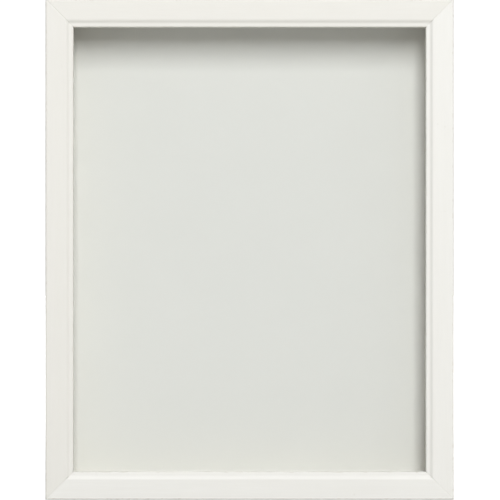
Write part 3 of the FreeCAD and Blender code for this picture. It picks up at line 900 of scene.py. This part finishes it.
class BOX_OT_spacers(Maker):
    """Build the four spacer strips that line the cavity"""

    bl_idname = "box_frame.spacers"
    bl_label = "Spacers"

    def build(self, moulding, fittings, finishes):
        """Builds each strip as a slab as deep as the cavity."""
        lining = paper_like(
            "liner_paint",
            finishes.liner,
            finishes.liner_fleck,
            scale=900.0,
            rough=0.6,
            depth=0.03 * MM,
            amount=0.10,
        )
        for side in SIDES:
            node = f"spacer_{side}"
            plate(f"liner_{side}", node, lining, "frame", seam=0.25, corner=0.4)


class BOX_OT_back(Maker):
    """Build the backing card and the board behind it"""

    bl_idname = "box_frame.back"
    bl_label = "Card and Board"

    def build(self, moulding, fittings, finishes):
        """Builds both sheets; the board's edges are well rounded."""
        card = paper_like(
            "backing_card",
            finishes.card,
            finishes.card_fleck,
            scale=1100.0,
            rough=0.75,
            depth=0.03 * MM,
            amount=0.07,
        )
        board = paper_like(
            "fibre_board",
            finishes.board,
            finishes.board_fleck,
            scale=420.0,
            rough=0.62,
            depth=0.06 * MM,
            amount=0.75,
        )
        plate("card", "backing_card", card, "back", seam=0.2, corner=0.5)
        plate("board", "back_board", board, "back", seam=0.45, corner=1.2)


class BOX_OT_tabs(Maker):
    """Build the ten bendable tabs that hold the back in"""

    bl_idname = "box_frame.tabs"
    bl_label = "Tabs"

    def build(self, moulding, fittings, finishes):
        """Builds each tab out of its rail, its leaf reaching in past the rebate wall."""
        steel = metal("tab_steel", finishes.zinc, finishes.zinc_dull, 0.30, 700.0, 0.01 * MM)
        inwards = {"left": (1, 0, 0), "right": (-1, 0, 0), "top": (0, 0, -1), "bottom": (0, 0, 1)}
        for node in sorted(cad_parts):
            if node.startswith("tab_"):
                side = node.split("_")[1]
                self.tab(node, np.array(inwards[side], float), fittings, steel)

    def tab(self, node, ahead, fittings, steel):
        """One flat tab: barbed anchor, then a leaf with a half-round end.

        Half of the width is read off straight lines as far as the round end, and there it is
        the height of a circle at that distance from its centre.
        """
        low, high = extent(node)
        across = np.array([ahead[2], 0, ahead[0]])
        half_wide = abs((high - low) @ across) / 2
        half_thick = (high[1] - low[1]) / 2
        reach, anchor = fittings.tab_reach, fittings.tab_anchor
        tip = middle(low, high) + ahead * (reach + anchor) / 2
        wall = tip - ahead * reach
        round_start = reach - half_wide
        stations = np.concatenate(
            [
                np.linspace(-anchor, -anchor / 2, 5),
                np.linspace(-anchor / 2 + 0.05 * MM, -0.4 * MM, 4),
                np.linspace(-0.2 * MM, 2.4 * MM, 27),
                np.linspace(2.8 * MM, round_start, 10),
                round_start + half_wide * np.sin(np.radians(np.linspace(8, 89.2, 15))),
            ]
        )
        knots = [-anchor, -anchor / 2, -anchor / 2 + 0.04 * MM, 0]
        barb = [0.5 * MM, half_wide, fittings.tab_neck / 2, half_wide]
        straight = np.interp(stations, knots, barb)
        beyond = np.clip(stations - round_start, 0, half_wide)
        half_widths = straight * np.sqrt(1 - (beyond / half_wide) ** 2)
        path = wall + stations[:, None] * ahead
        normals = np.broadcast_to([0.0, 1.0, 0.0], path.shape)
        shell = Shell()
        strip(shell, path, normals, half_widths, half_thick, across)
        place = node.removeprefix("tab_")
        piece = shell.make(f"tab_leaf_{place}", steel, None, [node])
        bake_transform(piece)


class BOX_OT_nails(Maker):
    """Build the four V-nails across the mitres"""

    bl_idname = "box_frame.nails"
    bl_label = "V-Nails"

    def build(self, moulding, fittings, finishes):
        """Builds four bent nails, each with one arm along each rail of its corner."""
        low, high = extent("corner_v_nails")
        arm, thick = fittings.nail_arm, fittings.nail_thick
        steel = metal("nail_steel", finishes.nail, finishes.nail_rust, 0.38, 900.0, 0.02 * MM)
        vee = [(0, 0), (arm, 0), (arm, thick), (thick, thick), (thick, arm), (0, arm)]
        centre = middle(low, high)[[0, 2]]
        heel = low[[0, 2]] + arm - centre
        shell = Shell()
        for flip in ((1, 1), (-1, 1), (-1, -1), (1, -1)):
            corners = centre + flip * (heel - vee)
            if flip[0] * flip[1] < 0:
                corners = corners[::-1]
            slab(shell, corners, low[1], high[1] + fittings.nail_proud, 0.06 * MM, 0.1 * MM)
        shell.make("v_nails", steel, "frame", ["corner_v_nails"])


class BOX_OT_straps(Maker):
    """Build the two hanger straps with their rolled knuckles"""

    bl_idname = "box_frame.straps"
    bl_label = "Hanger Straps"

    def build(self, moulding, fittings, finishes):
        """Builds each strap from its round foot up and round the knuckle."""
        steel = metal("strap_plate", finishes.nickel, finishes.strap_dull, 0.22, 800.0, 0.008 * MM)
        self.pair("hanger", "hanger_strap", steel, "plated_steel", fittings)

    def shape(self, shell, low, high, fittings):
        """The strap's middle line rises straight, then turns about the pivot, nearly closing.

        Its half width is that of a circle at the foot, full above it, and the knuckle's above
        the sloping shoulder.
        """
        half_thick, drop = fittings.strap_thick / 2, fittings.shoulder_drop
        rolled = fittings.strap_thick + fittings.knuckle_bore
        full, waist = (high[0] - low[0]) / 2, fittings.knuckle_width / 2
        pivot, foot = high[2] - rolled, low[2]
        rise = np.concatenate(
            [
                foot + full * (1 - np.cos(np.radians(np.linspace(3, 90, 16)))),
                np.linspace(foot + full, pivot - drop, 12)[1:],
                np.linspace(pivot - drop, pivot, 12)[1:],
            ]
        )
        circle = np.sqrt(full**2 - np.clip(full + foot - rise, 0, full) ** 2)
        slope = np.interp(pivot - rise, [drop - (full - waist), drop], [waist, full])
        turn = np.radians(np.linspace(180, -110, 44)[1:])
        middle_radius = rolled - half_thick
        curl_y = low[1] + rolled + middle_radius * np.cos(turn)
        y = np.concatenate([np.full(len(rise), low[1] + half_thick), curl_y])
        z = np.concatenate([rise, pivot + middle_radius * np.sin(turn)])
        path = together(middle(low, high)[0], y, z)
        normal_y = np.concatenate([np.full(len(rise), -1.0), np.cos(turn)])
        normal_z = np.concatenate([np.zeros(len(rise)), np.sin(turn)])
        normals = together(0.0, normal_y, normal_z)
        half_widths = np.concatenate([np.minimum(circle, slope), np.full(len(turn), waist)])
        strip(shell, path, normals, half_widths, half_thick, (1.0, 0.0, 0.0))


class BOX_OT_rings(Maker):
    """Build the two D-rings that swing in the knuckles"""

    bl_idname = "box_frame.rings"
    bl_label = "D-Rings"

    def build(self, moulding, fittings, finishes):
        """Builds each ring as round wire round a closed path."""
        wire = metal("ring_plate", finishes.nickel, finishes.ring_dull, 0.18, 900.0, 0.006 * MM)
        self.pair("d_ring", "hanger_ring", wire, "plated_steel", fittings, body="{}_ring")

    def shape(self, shell, low, high, fittings):
        """A circle of wire carried round a D: a bar, two corners, two legs and a half-round bow."""
        radius, corner = fittings.wire_radius, fittings.ring_corner
        half = (high[0] - low[0]) / 2 - radius
        bow = low[2] + radius + half
        bar = high[2] - radius
        centre = middle(low, high)
        path = np.concatenate(
            [
                spread((-half + corner, bar), (half - corner, bar), count=9),
                arc((half - corner, bar - corner), corner, 90, 0, 10),
                spread((half, bar - corner), (half, bow), count=5),
                arc((0, bow), half, 0, -180, 40),
                spread((-half, bow), (-half, bar - corner), count=5),
                arc((-half + corner, bar - corner), corner, 180, 90, 10),
            ]
        )
        normals = outward(path)
        turn = ring_of(20)
        sideways = radius * np.cos(turn)
        points = together(
            centre[0] + path[:, :1] + sideways * normals[:, :1],
            centre[1] + radius * np.sin(turn),
            path[:, 1:] + sideways * normals[:, 1:],
        )
        round_way = np.linspace(0, 2 * math.pi * radius, len(turn) + 1)
        shell.grid(points, uv=together(travel(path)[:, None], round_way), wrap=(True, True))


class BOX_OT_screws(Maker):
    """Build the two pan-head screws that hold the straps"""

    bl_idname = "box_frame.screws"
    bl_label = "Screws"

    def build(self, moulding, fittings, finishes):
        """Builds each screw's head, with its cross recess, and its thread."""
        steel = metal("screw_plate", finishes.screw, finishes.screw_dull, 0.26, 1100.0, 0.01 * MM)
        self.pair("screw", "hanger_screw", steel, "screw_steel", fittings)

    def shape(self, shell, low, high, fittings):
        """The head and the thread, which meet in the plane under the head."""
        centre = middle(low, high)
        centre[1] = high[1] - fittings.head_height
        self.head(shell, centre, (high[0] - low[0]) / 2, fittings.head_height)
        self.thread(shell, centre, low[1] - centre[1], fittings)

    def head(self, shell, centre, radius, height):
        """A domed head turned about its axis, its top pushed in by a cross.

        Each arm of the cross narrows and grows shallow outwards; a point is pushed in by the
        arm's depth at its distance out, cut off by a steep step at the arm's sides.
        """
        crown, under = 0.62 * radius, 0.9 * radius
        side, bevel = 0.35 * height, 0.06 * height
        bend = np.radians(np.linspace(0, 90, 12))
        rim_r = crown + (radius - crown) * np.cos(bend)
        rim_h = side + (height - side) * np.sin(bend)
        top = np.linspace(crown, 0, 42)[1:]
        radii = np.concatenate([[0, under, radius], rim_r, top])
        heights = np.concatenate([[0, 0, bevel], rim_h, np.full(len(top), height)])
        theta = ring_of(96)
        x, z = np.abs(radii[:, None] * np.cos(theta)), np.abs(radii[:, None] * np.sin(theta))
        out, aside = np.maximum(x, z), np.minimum(x, z)
        span, slot, depth = 1.7 * MM, 0.45 * MM, 1.2 * MM
        taper, step, slope = 0.35, 0.09 * MM, 0.75 * MM
        wide = slot * (1 - taper * np.clip(out / span, 0, 1))
        inside = np.clip((wide - aside) / step, 0, 1)
        floor = depth * np.clip((span - out) / slope, 0, 1) ** 0.8
        dished = np.where(heights[:, None] > 0.99 * height, inside * floor, 0)
        lathe(shell, centre, radii, heights[:, None] - dished, len(theta))

    def thread(self, shell, centre, bottom, fittings):
        """A pointed core with a helical ridge.

        The radius is the core's plus a triangle wave of the height less the turn, and both
        shrink to nothing at the point.
        """
        core, crest = fittings.thread_core, fittings.thread_crest
        count, flank, point = 40, 0.4, 3.0 * MM
        heights = np.linspace(-0.02 * MM, bottom, 170)[:, None]
        wave = (heights / fittings.thread_pitch - ring_of(count) / (2 * math.pi)) % 1.0
        ridge = np.clip(1 - np.abs(wave - 0.5) / flank, 0, 1)
        near = np.clip((heights - bottom) / point, 0, 1) ** 0.6
        radii = near * (core + (crest - core) * ridge)
        ids = lathe(shell, centre, radii, heights, count)
        shell.cap(ids[0])


class BOX_OT_bumpers(Maker):
    """Build the two rubber bumpers at the lower back corners"""

    bl_idname = "box_frame.bumpers"
    bl_label = "Wall Bumpers"

    def build(self, moulding, fittings, finishes):
        """Builds both bumpers in rubber."""
        self.pair("bumper", "wall_bumper", rubber(finishes), "bumper_rubber", fittings)

    def shape(self, shell, low, high, fittings):
        """A turned profile: straight foot, sloping side, soft rim and a slightly dished top.

        The rim is part of a circle, and the dish deepens by the square of a sine.
        """
        centre = middle(low, high)
        centre[1] = low[1]
        radius, height = (high[0] - low[0]) / 2, high[1] - low[1]
        top, soft, break_edge, dish = fittings.bumper_top, 0.5 * MM, 0.1 * MM, 0.12 * MM
        rim = arc((top - soft, height - soft), soft, 10, 90, 8)
        inner = np.linspace(0, 1, 9)[1:]
        floor = height - dish * np.sin(inner * math.pi / 2) ** 2
        foot = [(0, 0), (radius - break_edge, 0), (radius, break_edge), (radius, 0.3 * height)]
        profile = np.concatenate([foot, rim, together((top - soft) * (1 - inner), floor)])
        lathe(shell, centre, profile[:, 0], profile[:, 1])


class BOX_OT_stage(bpy.types.Operator):
    """Build the floor, the light and the camera"""

    bl_idname = "box_frame.stage"
    bl_label = "Stage"
    bl_options = {"REGISTER", "UNDO"}

    def execute(self, context):
        """Sets the stage round the frame."""
        stage = context.scene.box_stage
        low, high = CAD_BOX
        centre = middle(low, high)
        self.floor(stage, low[2])
        self.sky(context.scene, stage)
        self.key(context.scene, stage, centre)
        self.camera(context.scene, stage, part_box("rail_top"), centre)
        context.scene.view_settings.view_transform = "Standard"
        return {"FINISHED"}

    def floor(self, stage, height):
        """A round pale floor, ringed finely near the middle."""
        radii = stage.floor_radius * np.linspace(0, 1, 24)[:, None] ** 3
        theta = ring_of(64)
        points = together(radii * np.cos(theta), radii * np.sin(theta), height)
        shell = Shell()
        shell.grid(points, wrap=(False, True))
        mesh = bpy.data.meshes.new("floor")
        mesh.from_pydata(np.concatenate(shell.points).tolist(), [], shell.faces)
        close(mesh)
        mesh.materials.append(self.floor_paint(stage))
        floor = bpy.data.objects.new("floor", mesh)
        bpy.context.scene.collection.objects.link(floor)

    def floor_paint(self, stage):
        """Matt pale paint; the glow shows in the picture and lights nothing."""
        material, tree = new_material("studio_floor")
        mottle = noise(tree, in_place(tree), 6.0, 3.0, 0.5)
        base = mix(tree, times(tree, mottle, 0.04), stage.floor, stage.floor_patch)
        paint = add(tree, "BsdfDiffuse", {"Color": base}).outputs[0]
        away = add(tree, "VectorMath", {0: in_place(tree)}, operation="LENGTH").outputs["Value"]
        fade = ramp(tree, away, 0.15, 1.2, stage.glow_near, stage.glow_far)
        glow = add(tree, "Emission", {"Color": WHITE, "Strength": fade}).outputs[0]
        seen = add(tree, "AddShader", {0: paint, 1: glow}).outputs[0]
        lent = add(tree, "BsdfDiffuse", {"Color": (*stage.floor_lent, 1)}).outputs[0]
        even = add(tree, "Emission", {"Color": WHITE, "Strength": stage.sky_mirrored}).outputs[0]
        glossy = add(tree, "LightPath").outputs["Is Glossy Ray"]
        unseen = either(tree, glossy, lent, even)
        add(tree, "OutputMaterial", {"Surface": either(tree, looked_at(tree), unseen, seen)})
        return material

    def sky(self, scene, stage):
        """White light, strongest from behind and weakest from the left; it looks plain white."""
        scene.world = bpy.data.worlds.new("studio")
        scene.world.use_nodes = True
        tree = scene.world.node_tree
        tree.nodes.clear()
        toward = add(tree, "SeparateXYZ", {0: in_place(tree)}).outputs
        ahead = ramp(tree, toward["X"], -0.9, 0.9, stage.sky_left, stage.sky_right)
        strength = ramp(tree, toward["Y"], -0.05, 0.45, ahead, stage.sky_behind)
        light = add(tree, "Background", {"Color": WHITE, "Strength": strength}).outputs[0]
        seen = add(tree, "Background", {"Color": WHITE, "Strength": stage.backdrop}).outputs[0]
        add(tree, "OutputWorld", {"Surface": either(tree, looked_at(tree), light, seen)})

    def key(self, scene, stage, centre):
        """One large soft light from above and to the right."""
        lamp = bpy.data.lights.new("key", "AREA")
        lamp.energy = stage.key_power
        lamp.shape = "RECTANGLE"
        lamp.size, lamp.size_y = stage.key_width, stage.key_tall
        key = bpy.data.objects.new("key", lamp)
        scene.collection.objects.link(key)
        up, turn = stage.key_height, stage.key_azimuth
        level = math.cos(up)
        away = np.array([math.sin(turn) * level, -math.cos(turn) * level, math.sin(up)])
        key.location = centre + away * stage.key_distance
        key.rotation_euler = (math.pi / 2 - up, 0, turn)

    def camera(self, scene, stage, rail, centre):
        """A long lens square to the front, its picture as high as the view height there."""
        data = bpy.data.cameras.new("camera")
        camera = bpy.data.objects.new("camera", data)
        scene.collection.objects.link(camera)
        data.sensor_width = 36
        data.lens = data.sensor_width * stage.camera_distance / stage.view_height
        data.clip_end = 100
        front = rail[0][1]
        height = centre[2] - stage.camera_drop
        camera.location = (stage.camera_shift, front - stage.camera_distance, height)
        camera.rotation_euler = (math.pi / 2, 0, 0)
        scene.camera = camera


PIECES = (
    BOX_OT_rails,
    BOX_OT_pane,
    BOX_OT_spacers,
    BOX_OT_back,
    BOX_OT_tabs,
    BOX_OT_nails,
    BOX_OT_straps,
    BOX_OT_rings,
    BOX_OT_screws,
    BOX_OT_bumpers,
    BOX_OT_stage,
)
SETTINGS = {
    "box_moulding": MouldingSizes,
    "box_fittings": FittingSizes,
    "box_finishes": Finishes,
    "box_stage": StageSettings,
}


class BOX_PT_frame(bpy.types.Panel):
    """Sidebar panel with every operator and setting"""

    bl_idname = "BOX_PT_frame"
    bl_label = "Display Box Frame"
    bl_space_type = "VIEW_3D"
    bl_region_type = "UI"
    bl_category = "Box Frame"

    def draw(self, context):
        """Draws the buttons, then each group of settings in a box."""
        column = self.layout.column(align=True)
        for piece in PIECES:
            column.operator(piece.bl_idname)
        for name, group in SETTINGS.items():
            box = self.layout.box()
            for setting in group.__annotations__:
                box.prop(getattr(context.scene, name), setting)


CLASSES = (*SETTINGS.values(), *PIECES, BOX_PT_frame)


def register():
    """Registers the classes and hangs the settings on the scene."""
    for item in CLASSES:
        bpy.utils.register_class(item)
    for name, group in SETTINGS.items():
        setattr(bpy.types.Scene, name, PointerProperty(type=group))


def unregister():
    """Takes the settings and the classes away again."""
    for name in SETTINGS:
        delattr(bpy.types.Scene, name)
    for item in reversed(CLASSES):
        bpy.utils.unregister_class(item)


def main():
    """Builds everything in order."""
    register()
    for piece in PIECES:
        family, action = piece.bl_idname.split(".")
        getattr(getattr(bpy.ops, family), action)()


if __name__ == "__main__":
    main()
